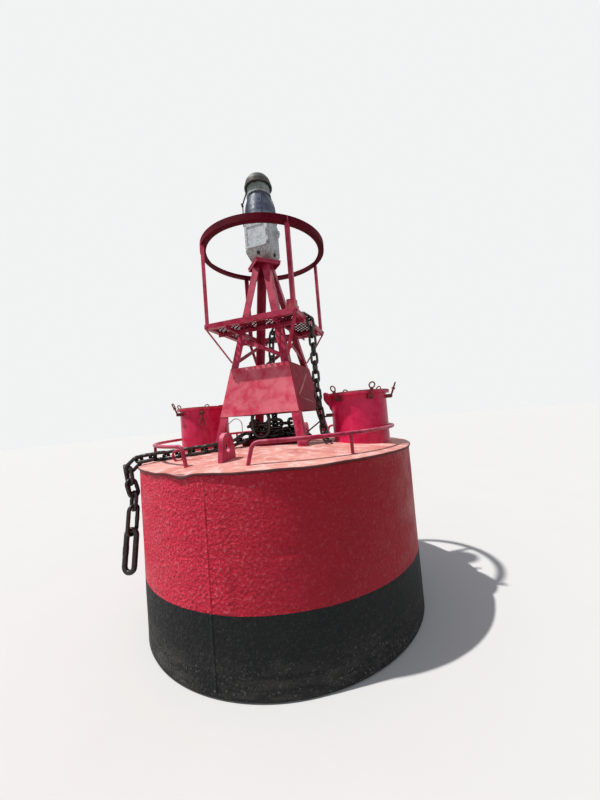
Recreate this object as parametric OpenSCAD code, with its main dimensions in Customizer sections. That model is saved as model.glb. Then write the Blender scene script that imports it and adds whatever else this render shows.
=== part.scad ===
// Lighted navigation buoy: a flat drum hull with two covered pockets, an angle-iron tower with
// number plates, a service platform with a guard ring, a gas lantern and loose mooring chain.
// Millimetres, Z up. The origin is the middle of the drum's flat bottom, on its axis.
// The tower's faces look along X and Y, and the front is -Y.

/* [Hull] */
// Diameter of the drum's shell
hull_d = 2134; // [1900:1:2300]
// Height of the deck's edge above the flat bottom
hull_h = 1185; // [1000:1:1300]
// Rise of the deck from its edge to its middle
deck_rise = 60; // [30:1:90]
// Thickness of the deck plate
deck_t = 12; // [8:1:16]
// How far the deck plate stands out past the shell
deck_lip = 10; // [4:1:20]
// Radius of the weld beads down the shell
seam_r = 6; // [3:0.5:8]
// Diameter of the coaming in the middle of the deck
coaming_d = 600; // [500:5:640]
// Height of the coaming's top above the middle of the deck
coaming_h = 50; // [30:1:70]

/* [Tower] */
// Height of the top plate's upper face
tower_top = 2811; // [2700:1:2860]
// Distance of each leg's corner from the tower's middle, where it meets the deck
leg_foot = 385; // [350:1:410]
// The same distance just under the top plate
leg_head = 68; // [60:1:69]
// Width of the leg angle's flanges
leg_w = 62; // [50:1:66]
// Thickness of the leg angle
leg_t = 8; // [6:0.5:10]
// Side of the square top plate, which is turned 45 degrees to the tower
cap_side = 228; // [220:1:260]
// Height of the number plates' lower edge
plate_low = 1488; // [1450:1:1520]
// Height of the number plates' upper edge
plate_high = 1876; // [1800:1:1910]
// Thickness of the number plates
plate_t = 5; // [4:0.5:8]

/* [Platform] */
// Height of the upper edge of the platform's rim
platform_z = 2238; // [2180:1:2280]
// Half the side of the platform
platform_half = 390; // [370:1:420]
// Width of the platform's rim angle
rim_w = 40; // [35:1:45]
// Distance from hole to hole along the grating's rows
grate_pitch = 50; // [44:1:60]
// Width of the grating's bars
grate_bar = 9; // [6:0.5:12]
// Radius of the guard ring
ring_r = 538; // [520:1:560]
// Height of the guard ring's upper edge
ring_top = 2940; // [2900:5:2980]
// Width of the guard ring's angle
ring_w = 50; // [40:1:60]
// How far the guard ring has sunk on its right side, in degrees
ring_lean = 1.4; // [0:0.1:2]

/* [Pockets] */
// Distance of each pocket's axis from the buoy's axis
pocket_x = 720; // [715:1:725]
// Outer diameter of a pocket's wall
pocket_d = 430; // [420:1:434]
// Thickness of a pocket's wall
pocket_t = 8; // [6:0.5:10]
// Height of the pocket's flange above the bottom of the hull
pocket_top = 1588; // [1560:1:1620]
// Thickness of a pocket's flange, and of its lid
lid_t = 12; // [10:0.5:16]

/* [Lantern] */
// Half the width of the lantern's square body
body_half = 120; // [110:1:130]
// Height of the top of the lantern's square body
body_top = 3165; // [3140:5:3190]
// Radius of the lens at its wide lower end
lens_r = 140; // [130:1:144]
// Height of the lens's narrow upper end
lens_top = 3422; // [3400:2:3440]
// Radius of the hood's brim
hood_r = 124; // [115:1:135]
// Height of the top of the hood
hood_top = 3630; // [3610:2:3650]

/* [Deck fittings] */
// Height of the handrails above the deck's edge
rail_h = 135; // [120:1:150]
// Radius of the circle that the handrails follow
rail_circle = 962; // [960:1:970]
// Diameter of the handrail bar
rail_d = 25; // [20:1:26]
// Height of the lifting eyes above the deck
eye_h = 170; // [150:1:200]
// Diameter of the hole in a lifting eye
eye_hole_d = 66; // [50:1:70]

/* [Chain] */
// Diameter of the chain's bar
chain_bar = 26; // [22:1:28]
// Distance from link to link
chain_pitch = 98; // [90:1:104]
// Outer width of a link
chain_w = 90; // [84:1:96]

/* [Hidden] */
fine = 96;
cap_t = 9;
hull_r = hull_d / 2;

// The deck's section, as radius and share of the rise
DECK_ARC = [[0, 1], [0.2, 0.96], [0.4, 0.84], [0.55, 0.6975], [0.7, 0.51], [0.85, 0.2775], [1, 0]];
function deck_share(q) =
    let (k = max([for (i = [0:len(DECK_ARC) - 2]) if (DECK_ARC[i][0] <= q) i]),
         a = DECK_ARC[k], b = DECK_ARC[k + 1])
    a[1] + (b[1] - a[1]) * (q - a[0]) / (b[0] - a[0]);
// Height of the deck's upper face at a distance r from the axis
function deck_z(r) = hull_h + deck_rise * deck_share(min(r / hull_r, 1));

// Half the distance between two leg corners at a height z
leg_z0 = hull_h + deck_rise * 0.7;
leg_lean = (leg_foot - leg_head) / (tower_top - cap_t - leg_z0);
function leg_at(z) = leg_foot - leg_lean * (z - leg_z0);
face_lean = atan(leg_lean);

red = "firebrick";
dark_red = "darkred";
pale_red = "indianred";
black = "dimgray";

// Everything below the deck's upper face, for cutting what stands on the deck
module below_deck() {
    rotate_extrude($fn = fine)
        polygon(concat([[0, 0]], [[hull_r + 60, 0], [hull_r + 60, hull_h]],
            [for (i = [len(DECK_ARC) - 1:-1:0])
                [DECK_ARC[i][0] * hull_r, hull_h + deck_rise * DECK_ARC[i][1]]]));
}

// Hull

module hull_shell() {
    seam_turns = [2.5, 122, 182, 300];
    color(red) union() {
        rotate_extrude($fn = fine)
            polygon(concat([[0, 0], [hull_r - 12, 0], [hull_r, 12]],
                [for (i = [len(DECK_ARC) - 1:-1:0])
                    [DECK_ARC[i][0] * hull_r, hull_h - deck_t + deck_rise * DECK_ARC[i][1]]]));
        for (turn = seam_turns)
            rotate([0, 0, turn - 90])
                translate([hull_r - 2, 0, 20])
                    cylinder(r = seam_r, h = hull_h - deck_t - 40, $fn = 24);
    }
}

module deck_plate() {
    lip_r = hull_r + deck_lip;
    color(pale_red)
        rotate_extrude($fn = fine)
            polygon(concat([[0, hull_h - deck_t + deck_rise]],
                [for (i = [1:len(DECK_ARC) - 1])
                    [DECK_ARC[i][0] * hull_r, hull_h - deck_t + deck_rise * DECK_ARC[i][1]]],
                [[lip_r, hull_h - deck_t], [lip_r, hull_h]],
                [for (i = [len(DECK_ARC) - 1:-1:0])
                    [DECK_ARC[i][0] * hull_r, hull_h + deck_rise * DECK_ARC[i][1]]]));
}

module centre_coaming() {
    top_z = hull_h + deck_rise + coaming_h;
    color(dark_red)
        difference() {
            union() {
                translate([0, 0, hull_h])
                    cylinder(d = coaming_d, h = top_z - 12 - hull_h, $fn = fine);
                translate([0, 0, top_z - 12])
                    cylinder(d1 = coaming_d, d2 = coaming_d - 24, h = 12, $fn = fine);
            }
            below_deck();
        }
}

// Tower

// Places its children on the leaning front face, with Y up the face and Z out of it
module on_face(z) {
    translate([0, -leg_at(z), z])
        rotate([90 - face_lean, 0, 0])
            children();
}

// Length up a leaning face between two heights
function up_face(z_low, z_high) = (z_high - z_low) / cos(face_lean);

// The leg with its corner at +X, -Y. Its two flanges lie in two leaning faces,
// so its section isn't quite square.
leg_low = hull_h - 30;
leg_dir = unit([-leg_lean, leg_lean, 1]);
flange_right = unit([0, 1, 0] - leg_dir * leg_dir[1]);
flange_front = unit([-1, 0, 0] + leg_dir * leg_dir[0]);
flange_cross = cross(leg_dir, flange_right);
leg_open = acos(flange_right * flange_front);
// Where the inner faces of two flanges of thickness t meet
function inner_corner(t) = [t * (1 + cos(leg_open)), t * sin(leg_open)] / sin(leg_open);

// A length of angle iron along the leg, with its corner at a point of the leg's section
module leg_angle(corner, w, t, length) {
    multmatrix([[flange_right[0], flange_cross[0], leg_dir[0], leg_at(leg_low)],
        [flange_right[1], flange_cross[1], leg_dir[1], -leg_at(leg_low)],
        [flange_right[2], flange_cross[2], leg_dir[2], leg_low]])
        linear_extrude(height = length)
            translate(corner)
                polygon([[0, 0], [w, 0], [w, t], inner_corner(t),
                    [w * cos(leg_open) + t * sin(leg_open), w * sin(leg_open) - t * cos(leg_open)],
                    [w * cos(leg_open), w * sin(leg_open)]]);
}

module leg_bar() {
    difference() {
        leg_angle([0, 0], leg_w, leg_t, tower_top + 120 - leg_low);
        below_deck();
        translate([-500, -500, tower_top - cap_t])
            cube([1000, 1000, 200]);
    }
}

module tower_leg(turn) {
    color(red)
        rotate([0, 0, turn])
            leg_bar();
}

module tower_leg_front_right() { tower_leg(0); }
module tower_leg_back_right() { tower_leg(90); }
module tower_leg_back_left() { tower_leg(180); }
module tower_leg_front_left() { tower_leg(270); }

// Short angles inside the legs' feet, standing on the deck
module leg_cleats() {
    cleat_h = 118;
    cleat_w = 52;
    color(dark_red)
        for (turn = [0:90:270])
            rotate([0, 0, turn])
                difference() {
                    leg_angle(inner_corner(leg_t) * 1.01, cleat_w, leg_t, cleat_h + 30 + deck_rise);
                    below_deck();
                }
}

// A plate with a thin skirt a little way in under its edge
module tower_top_plate() {
    skirt = 32;
    outside = cap_side - 8;
    inside = outside - 10;
    color(red)
        rotate([0, 0, 45])
            difference() {
                union() {
                    translate([-cap_side / 2, -cap_side / 2, tower_top - cap_t])
                        cube([cap_side, cap_side, cap_t]);
                    translate([-outside / 2, -outside / 2, tower_top - skirt])
                        cube([outside, outside, skirt]);
                }
                translate([-inside / 2, -inside / 2, tower_top - skirt - 1])
                    cube([inside, inside, skirt + 1 - cap_t]);
            }
}

// Diagonal bars behind the legs' flanges, above the number plates
module tower_braces() {
    high = 2130;
    low = 1925;
    bar_w = 32;
    bar_t = 6;
    inset = leg_t + 15;
    rise = up_face(low, high);
    run = leg_at(high) + leg_at(low) - 2 * inset;
    color(dark_red)
        for (turn = [0:90:270])
            rotate([0, 0, turn])
                on_face(low)
                    translate([leg_at(low) - inset, 0, -leg_t - bar_t - 0.2])
                        rotate([0, 0, atan2(rise, -run)])
                            translate([0, -bar_w / 2, 0])
                                cube([norm([rise, run]), bar_w, bar_t]);
}

// A number plate on the front face, from its lower to its upper edge
module number_plate(turn) {
    color(pale_red)
        rotate([0, 0, turn])
            on_face(plate_low)
                linear_extrude(height = plate_t)
                    polygon([[-leg_at(plate_low), 0], [leg_at(plate_low), 0],
                        [leg_at(plate_high), up_face(plate_low, plate_high)],
                        [-leg_at(plate_high), up_face(plate_low, plate_high)]]);
}

module number_plate_front() { number_plate(0); }
module number_plate_right() { number_plate(90); }
module number_plate_back() { number_plate(180); }
module number_plate_left() { number_plate(270); }

// Platform

rim_t = 6;
seat_z = platform_z - rim_w + rim_t;
bearer_y = leg_at(seat_z - 30);

// A square frame of angle iron, with four bearers past the tower's legs under the grating
module platform_rim() {
    clear_in = platform_half - rim_w;
    wall_in = platform_half - rim_t;
    color(red) union() {
        difference() {
            translate([-platform_half, -platform_half, platform_z - rim_w])
                cube([2 * platform_half, 2 * platform_half, rim_w]);
            translate([-wall_in, -wall_in, seat_z])
                cube([2 * wall_in, 2 * wall_in, rim_w]);
            translate([-clear_in, -clear_in, platform_z - 2 * rim_w])
                cube([2 * clear_in, 2 * clear_in, 2 * rim_w]);
        }
        for (turn = [0:90:270])
            rotate([0, 0, turn])
                translate([-wall_in, -bearer_y - 6, seat_z - 30])
                    cube([2 * wall_in, 6, 30]);
    }
}

post_w = 32;
grate_out = platform_half - rim_t - 1;
// Centres of the holes that fit in a panel, in rows that are set off by half a pitch
function grate_holes(x0, x1, y0, y1) =
    let (m = (grate_pitch / sqrt(2) - grate_bar) / sqrt(2) + grate_bar,
         notch = grate_out - post_w - 4 - m)
    [for (j = [ceil(y0 * 2 / grate_pitch):floor(y1 * 2 / grate_pitch)],
          i = [ceil(x0 / grate_pitch) - 1:floor(x1 / grate_pitch)])
        let (x = (i + abs(j % 2) / 2) * grate_pitch, y = j * grate_pitch / 2)
        if (x > x0 + m && x < x1 - m && y > y0 + m && y < y1 - m && min(abs(x), abs(y)) < notch)
            [x, y]];

// One panel of diamond grating, from a corner to the opposite one
module grating_panel(x0, x1, y0, y1) {
    hole = grate_pitch / sqrt(2) - grate_bar;
    linear_extrude(height = 6)
        difference() {
            translate([x0, y0])
                square([x1 - x0, y1 - y0]);
            for (sx = [-1, 1])
                translate([sx * grate_out, -grate_out])
                    square(2 * post_w + 4, center = true);
            for (at = grate_holes(x0, x1, y0, y1))
                translate(at)
                    rotate(45)
                        square(hole, center = true);
        }
}

// Four panels round the tower, laid on the rim and the bearers
module platform_grating() {
    color(dark_red)
        translate([0, 0, seat_z])
            for (turn = [0, 180])
                rotate([0, 0, turn]) {
                    grating_panel(-grate_out, grate_out, -grate_out, -bearer_y - 1);
                    grating_panel(bearer_y + 1, grate_out, -bearer_y + 1, bearer_y - 1);
                }
}

module platform_struts() {
    foot = 1930;
    reach = (platform_half - 12 - leg_at(foot)) * sqrt(2);
    under = platform_z - rim_w;
    color(dark_red)
        for (turn = [0:90:270])
            rotate([0, 0, turn])
                difference() {
                    translate([leg_at(foot), -leg_at(foot), foot])
                        rotate([0, 0, -45])
                            rotate([0, atan2(reach, under - foot), 0])
                                translate([0, -14, 0])
                                    cube([6, 28, norm([reach, under - foot]) + 40]);
                    translate([0, -600, under])
                        cube([600, 600, 100]);
                }
}

// A two-step block round the foot of the guard post at the front right corner
module platform_block() {
    low_w = 78;
    high_w = 64;
    color(pale_red)
        difference() {
            translate([platform_half, -platform_half, platform_z]) {
                translate([-low_w, 0, 0])
                    cube([low_w, low_w, 24]);
                translate([-high_w - 6, 6, 24])
                    cube([high_w, high_w, 44]);
            }
            translate([platform_half - rim_t - post_w - 1, -platform_half + rim_t - 1, platform_z - 1])
                cube([post_w + 2, post_w + 2, 100]);
        }
}

// Places its children with the ring's lean, about the middle of its upper edge
module ring_tilt() {
    translate([0, 0, ring_top])
        rotate([0, ring_lean, 0])
            children();
}

// Angle-iron posts standing in the corners of the rim. The guard ring sits in notches in them,
// and their corners run on outside it.
module guard_posts() {
    post_t = 5;
    reach = platform_half - rim_t;
    color(red)
        difference() {
            for (turn = [0:90:270])
                rotate([0, 0, turn])
                    translate([reach - post_w, -reach, seat_z])
                        difference() {
                            cube([post_w, post_w, ring_top + 60 - seat_z]);
                            translate([-1, post_t, -1])
                                cube([post_w - post_t + 1, post_w, ring_top + 62 - seat_z]);
                        }
            ring_tilt()
                translate([0, 0, -ring_w])
                    cylinder(r = ring_r + 0.2, h = 300, $fn = fine);
            ring_tilt()
                translate([-700, -700, -6])
                    cube([1400, 1400, 300]);
        }
}

module guard_ring() {
    thick = 6;
    color(dark_red)
        ring_tilt()
            rotate_extrude($fn = fine)
                polygon([[ring_r, -ring_w], [ring_r, 0], [ring_r - thick, 0],
                    [ring_r - thick, thick - ring_w], [ring_r - ring_w, thick - ring_w],
                    [ring_r - ring_w, -ring_w]]);
}

// Pockets: each is drawn for the right side and turned round for the left

pocket_r = pocket_d / 2;
flange_r = pocket_r + 25;
hinge_x = pocket_x - flange_r - 18;
hinge_z = pocket_top + 18;
pin_r = 7;
lid_gap = 0.5;

module pocket_body() {
    cheek_t = 10;
    cheek_gap = 44;
    color(red) union() {
        difference() {
            union() {
                translate([pocket_x, 0, hull_h - 20])
                    cylinder(r = pocket_r, h = pocket_top - hull_h + 20, $fn = fine);
                translate([pocket_x, 0, pocket_top - lid_t])
                    cylinder(r = flange_r, h = lid_t, $fn = fine);
            }
            translate([pocket_x, 0, deck_z(pocket_x - pocket_r) + 10])
                cylinder(r = pocket_r - pocket_t, h = 1000, $fn = fine);
            below_deck();
        }
        for (side = [-1, 1])
            translate([0, side * (cheek_gap + cheek_t) / 2 + cheek_t / 2, 0])
                rotate([90, 0, 0])
                    linear_extrude(height = cheek_t)
                        difference() {
                            union() {
                                translate([hinge_x, hinge_z])
                                    circle(r = 16, $fn = 32);
                                polygon([[hinge_x - 16, hinge_z], [hinge_x - 16, pocket_top - 26],
                                    [pocket_x - pocket_r + 3, pocket_top - 130],
                                    [pocket_x - pocket_r + 3, pocket_top - lid_t],
                                    [hinge_x + 16, pocket_top - lid_t], [hinge_x + 16, hinge_z]]);
                            }
                            translate([hinge_x - 22, pocket_top - 104])
                                circle(r = 50, $fn = 48);
                        }
        translate([hinge_x, 0, hinge_z])
            rotate([90, 0, 0])
                cylinder(r = pin_r, h = cheek_gap + 2 * cheek_t + 8, center = true, $fn = 32);
    }
}

module pocket_lid() {
    barrel = 40;
    color(pale_red) difference() {
        union() {
            translate([pocket_x, 0, pocket_top + lid_gap])
                cylinder(r = flange_r, h = lid_t - lid_gap, $fn = fine);
            translate([hinge_x, -barrel / 2, pocket_top + lid_t])
                cube([90, barrel, 10]);
            translate([hinge_x, 0, hinge_z])
                rotate([90, 0, 0])
                    cylinder(r = 13, h = barrel, center = true, $fn = 32);
        }
        translate([hinge_x, 0, hinge_z])
            rotate([90, 0, 0])
                cylinder(r = pin_r + 0.5, h = barrel + 4, center = true, $fn = 32);
    }
}

// Swing bolts with ring nuts stand round the rim, loose and leaning out, and one has dropped
module swing_bolt(lean) {
    nut_z = 52;
    nut_h = 14;
    ring_mid = 21;
    ring_bar = 5;
    translate([flange_r + 12, 0, pocket_top - 40])
        rotate([0, lean, 0]) {
            cylinder(r = 7, h = nut_z + nut_h + 2, $fn = 24);
            rotate([90, 0, 0])
                cylinder(r = 11, h = 19, center = true, $fn = 24);
            rotate([90, 0, 0])
                cylinder(r = 5, h = 44, center = true, $fn = 24);
            translate([0, 0, nut_z])
                cylinder(r = 13, h = nut_h, $fn = 24);
            translate([0, 0, nut_z + nut_h + ring_mid - 2])
                rotate([0, 90, 0])
                    rotate_extrude($fn = 48)
                        translate([ring_mid, 0])
                            circle(r = ring_bar, $fn = 24);
        }
}

module swing_bolt_lug() {
    for (side = [-1, 1])
        translate([pocket_r - 2, side * 14 - 4, pocket_top - 54])
            cube([44, 8, 28]);
}

module swing_bolts(dropped) {
    turns = [-120, -60, 0, 60, 120];
    color(dark_red)
        translate([pocket_x, 0, 0])
            difference() {
                for (i = [0:len(turns) - 1])
                    rotate([0, 0, turns[i]]) {
                        swing_bolt(i == dropped ? 172 : 22);
                        swing_bolt_lug();
                    }
                translate([0, 0, hull_h])
                    cylinder(r = pocket_r, h = 1000, $fn = fine);
            }
}

module pocket_right() { pocket_body(); }
module pocket_left() { rotate([0, 0, 180]) pocket_body(); }
module lid_right() { pocket_lid(); }
module lid_left() { rotate([0, 0, 180]) pocket_lid(); }
module swing_bolts_right() { swing_bolts(-1); }
module swing_bolts_left() { rotate([0, 0, 180]) swing_bolts(4); }

// A stub on the right pocket with a thin tube from it to the coaming under the tower
module gas_tube_right() {
    stub_turn = -170;
    stub_z = 1436;
    stub_end = pocket_r + 44;
    from = [pocket_x + stub_end * cos(stub_turn), stub_end * sin(stub_turn), stub_z];
    to = [255, -40, hull_h + deck_rise + coaming_h - 4];
    along = to - from;
    difference() {
        union() {
            translate([pocket_x, 0, stub_z])
                rotate([0, 0, stub_turn])
                    rotate([0, 90, 0])
                        cylinder(r = 14, h = stub_end + 6, $fn = 24);
            translate(from)
                rotate([0, 0, atan2(along[1], along[0])])
                    rotate([0, acos(along[2] / norm(along)), 0])
                        cylinder(r = 6, h = norm(along), $fn = 24);
        }
        translate([pocket_x, 0, hull_h])
            cylinder(r = pocket_r, h = 1000, $fn = fine);
        cylinder(r = coaming_d / 2, h = hull_h + deck_rise + coaming_h, $fn = fine);
    }
}

// A thin tube from the left pocket that arches over and goes down into the deck
module gas_tube_left() {
    bend = 60;
    tube_r = 4;
    arc = 125;
    lap = 3;
    difference() {
        translate([-411, 30, 1411])
            rotate([90, 0, 0]) {
                rotate([0, 0, -lap])
                    rotate_extrude(angle = arc + 2 * lap, $fn = 96)
                        translate([bend, 0])
                            circle(r = tube_r, $fn = 24);
                translate([bend, 0, 0])
                    rotate([90, 0, 0])
                        cylinder(r = tube_r - 0.4, h = 240, $fn = 24);
                rotate([0, 0, arc])
                    translate([bend, 0, 0])
                        rotate([-90, 0, 0])
                            cylinder(r = tube_r - 0.4, h = 120, $fn = 24);
            }
        translate([-pocket_x, 0, hull_h])
            cylinder(r = pocket_r, h = 1000, $fn = fine);
        below_deck();
    }
}

module gas_pipe() {
    color(dark_red) {
        gas_tube_right();
        gas_tube_left();
    }
}

// Deck fittings

eye_at = 805;
eye_hole_z = deck_z(eye_at) + 84;
// An upright plate along a radius of the deck, with a rounded top and one round hole
module lifting_eye(turn) {
    thick = 30;
    half = 85;
    head_r = 62;
    head_z = deck_z(eye_at) + eye_h - head_r - hull_h;
    color(red)
        rotate([0, 0, turn])
            difference() {
                translate([thick / 2, -eye_at, hull_h])
                    rotate([90, 0, -90])
                        linear_extrude(height = thick)
                            difference() {
                                union() {
                                    polygon([[-half, -20], [half, -20], [half - 8, 60],
                                        [head_r - 2, head_z + 15], [2 - head_r, head_z + 15],
                                        [8 - half, 60]]);
                                    translate([0, head_z])
                                        circle(r = head_r, $fn = 64);
                                }
                                translate([0, eye_hole_z - hull_h])
                                    circle(d = eye_hole_d, $fn = 48);
                            }
                below_deck();
            }
}

module lifting_eye_front() { lifting_eye(0); }
module lifting_eye_back() { lifting_eye(180); }

module ring_eye() {
    color(red)
        difference() {
            translate([-439, -720, deck_z(843) + 37])
                rotate([90, 0, 30])
                    rotate_extrude($fn = 48)
                        translate([37.5, 0])
                            circle(r = 7.5, $fn = 24);
            below_deck();
        }
}

// A rail's end: it bends down and runs straight into the deck
module rail_end() {
    bend = 50;
    drop = 75;
    lap = 3;
    translate([0, 0, -bend]) {
        rotate([0, -90, 0])
            rotate([0, 0, -drop])
                rotate_extrude(angle = drop + lap, $fn = 96)
                    translate([bend, 0])
                        circle(d = rail_d - 0.5, $fn = 24);
        rotate([drop, 0, 0])
            translate([0, lap, bend])
                rotate([90, 0, 0])
                    cylinder(d = rail_d - 1, h = rail_h + lap, $fn = 24);
    }
}

// Half of the rail round the deck: an arc with two bent ends and two posts
module handrail() {
    ends = [17.2, 163.8];
    posts = [51, 128];
    rail_z = hull_h + rail_h;
    color(red)
        difference() {
            union() {
                rotate([0, 0, ends[0] - 90])
                    rotate_extrude(angle = ends[1] - ends[0], $fn = 192)
                        translate([rail_circle, rail_z])
                            circle(d = rail_d, $fn = 24);
                rotate([0, 0, ends[0] - 90])
                    translate([rail_circle, 0, rail_z])
                        rail_end();
                rotate([0, 0, ends[1] - 90])
                    mirror([0, 1, 0])
                        translate([rail_circle, 0, rail_z])
                            rail_end();
                for (post = posts)
                    rotate([0, 0, post - 90])
                        translate([rail_circle, 0, hull_h])
                            cylinder(d = rail_d - 4, h = rail_h, $fn = 24);
            }
            below_deck();
        }
}

module handrail_right() { handrail(); }
module handrail_left() { rotate([0, 0, 180]) handrail(); }

// Lantern

module rounded_square(half, r) {
    translate([-half + r, -half])
        square([2 * (half - r), 2 * half]);
    translate([-half, -half + r])
        square([2 * half, 2 * (half - r)]);
    for (sx = [-1, 1], sy = [-1, 1])
        translate([sx * (half - r), sy * (half - r)])
            circle(r = r, $fn = 32);
}

door_half = 98;
door_low = 2914;
door_high = 3114;
door_t = 14;
door_hinge = [door_half + 9, -body_half - 9];
door_pin_r = 3.5;
// Heights of the door's knuckles, from low to high
KNUCKLES = [[2944, 2976], [3052, 3084]];

module lantern_body() {
    foot_half = 78;
    shoulder = 100;
    lug_gap = 1;
    bottom = tower_top + 0.05;
    color("silver") union() {
        difference() {
            translate([0, 0, bottom])
                linear_extrude(height = body_top - bottom)
                    rounded_square(body_half, 30);
            for (turn = [0:90:270])
                rotate([0, 0, turn])
                    translate([-200, -foot_half, tower_top])
                        rotate([atan2(body_half - foot_half, shoulder), 0, 0])
                            translate([0, -200, -100])
                                cube([400, 200, 240]);
        }
        translate([0, 0, body_top])
            cylinder(r1 = 128, r2 = lens_r + 8, h = 20, $fn = fine);
        translate([body_half - 2, 25, tower_top + 260])
            rotate([0, 90, 0]) {
                cylinder(r = 38, h = 26, $fn = 48);
                cylinder(r = 20, h = 40, $fn = 6);
            }
        translate([door_hinge[0], door_hinge[1], KNUCKLES[0][0] - 16])
            cylinder(r = door_pin_r, h = KNUCKLES[1][1] - KNUCKLES[0][0] + 32, $fn = 32);
        for (z = [KNUCKLES[0][0] - 14, KNUCKLES[0][1], KNUCKLES[1][0] - 14, KNUCKLES[1][1]])
            translate([0, 0, z + lug_gap]) {
                translate([door_hinge[0], door_hinge[1], 0])
                    cylinder(r = 7, h = 14 - 2 * lug_gap, $fn = 32);
                translate([door_hinge[0] - 7, door_hinge[1], 0])
                    cube([14, 24, 14 - 2 * lug_gap]);
            }
    }
}

// The door's outline with rounded corners, drawn in by a margin, and its field
module door_outline(margin, corner) {
    w = 2 * door_half - 2 - 2 * margin;
    h = door_high - door_low - 2 * margin;
    translate([margin - door_half, door_low + margin]) {
        translate([corner, 0])
            square([w - 2 * corner, h]);
        translate([0, corner])
            square([w, h - 2 * corner]);
        for (x = [corner, w - corner], y = [corner, h - corner])
            translate([x, y])
                circle(r = corner, $fn = 32);
    }
}

// A cast door with a raised rim round a flat bare field
module lantern_door() {
    gap = 1;
    field_in = 5;
    rim = 15;
    face_y = -body_half - gap - door_t;
    color("gainsboro")
        difference() {
            union() {
                translate([0, -body_half - gap, 0])
                    rotate([90, 0, 0])
                        linear_extrude(height = door_t)
                            door_outline(0, 20);
                for (k = KNUCKLES)
                    translate([0, 0, k[0]]) {
                        translate([door_hinge[0], door_hinge[1], 0])
                            cylinder(r = 7, h = k[1] - k[0], $fn = 32);
                        translate([door_half - 8, door_hinge[1] - 6, 0])
                            cube([17, 9, k[1] - k[0]]);
                    }
            }
            translate([0, face_y + field_in, 0])
                rotate([90, 0, 0])
                    linear_extrude(height = 40)
                        door_outline(rim, 12);
            translate([door_hinge[0], door_hinge[1], door_low])
                cylinder(r = door_pin_r + 0.4, h = 300, $fn = 32);
        }
}

// The lens's outline from its foot to its neck, as radius and height above the foot
LENS_OUTLINE = [[lens_r, 0], [lens_r, 62], [lens_r - 5, 112], [lens_r - 17, 160], [lens_r - 30, 198],
    [lens_r - 42, lens_top - body_top - 20]];
module lantern_lens() {
    color("slategray")
        translate([0, 0, body_top + 20])
            rotate_extrude($fn = fine)
                polygon(concat([[0, 0]], LENS_OUTLINE, [[0, lens_top - body_top - 20]]));
}

// Thin rods up the outside of the lens, bent in over its shoulder. The lengths of a rod lap
// at its bends, and every other one is a little thinner.
module lens_guard() {
    rod_r = 3;
    thinner = 0.12;
    lap = 2;
    stand_off = 6;
    stops = [for (k = [0:len(LENS_OUTLINE) - 1])
        [LENS_OUTLINE[k][0] + stand_off, LENS_OUTLINE[k][1] + body_top + 20]];
    color(black)
        for (turn = [0:60:300])
            rotate([0, 0, turn])
                difference() {
                    for (k = [0:len(stops) - 2]) {
                        a = stops[k];
                        b = stops[k + 1];
                        past = k == len(stops) - 2 ? 10 : lap;
                        translate([a[0], 0, a[1]])
                            rotate([0, atan2(b[0] - a[0], b[1] - a[1]), 0])
                                cylinder(r = rod_r - (k % 2) * thinner, h = norm(b - a) + past, $fn = 16);
                    }
                    translate([0, -20, lens_top])
                        cube([200, 40, 40]);
                }
}

// The hood's outline above the lens: a neck ring, the ventilator, a stepped brim and a dome
neck_r = 101;
HOOD_OUTLINE = [[0, 0], [neck_r + 8, 0], [neck_r + 8, 12], [neck_r, 15], [neck_r, 92],
    [hood_r - 9, 82], [hood_r, 84], [hood_r, 95], [hood_r - 6, 99], [hood_r - 8, 124],
    [hood_r - 17, 150], [hood_r - 36, 176], [hood_r - 66, 196], [0, hood_top - lens_top]];
module lantern_hood() {
    color("darkslategray")
        translate([0, 0, lens_top])
            difference() {
                rotate_extrude($fn = fine)
                    polygon(HOOD_OUTLINE);
                rotate([0, 0, -56])
                    translate([-17, -neck_r - 5, 38])
                        cube([34, 13, 26]);
            }
}

// A toggle down the lens's left side that holds the hood shut
module hood_clasp() {
    turn = -78;
    top = [neck_r + 13, lens_top + 62];
    knee = [lens_r + 16, lens_top - 40];
    foot = [lens_r + 14, body_top + 26];
    fall = top - knee;
    color(black)
        rotate([0, 0, turn])
            union() {
                translate([-8, -neck_r - 18, top[1] - 8])
                    cube([16, 17.9, 16]);
                translate([0, -knee[0], knee[1]])
                    rotate([atan2(fall[0], fall[1]), 0, 0])
                        translate([-6, -4, -14])
                            cube([12, 8, norm(fall) + 16]);
                translate([0, -knee[0], knee[1]])
                    rotate([0, 90, 0])
                        cylinder(r = 9, h = 34, center = true, $fn = 24);
                translate([0, -foot[0], foot[1]])
                    cylinder(r = 5, h = knee[1] - foot[1], $fn = 24);
                translate([-10, -foot[0] - 6, body_top + 20])
                    cube([20, 19, 22]);
            }
}

// Chain

function unit(v) = v / norm(v);
function path_length(path, i = 0) =
    i >= len(path) - 1 ? 0 : norm(path[i + 1] - path[i]) + path_length(path, i + 1);
function path_at(path, s, i = 0) =
    let (step = norm(path[i + 1] - path[i]))
    s <= step || i >= len(path) - 2
        ? path[i] + (path[i + 1] - path[i]) * s / step
        : path_at(path, s - step, i + 1);

// Stations round a link: which end's arc it is on, its angle there, and its share of the arc's radius
LINK_STATIONS = [[1, -90, 1], [1, -30, 1.155], [1, 30, 1.155], [1, 90, 1],
    [-1, 90, 1], [-1, 150, 1.155], [-1, 210, 1.155], [-1, 270, 1]];
LINK_SIDES = 6;

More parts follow.
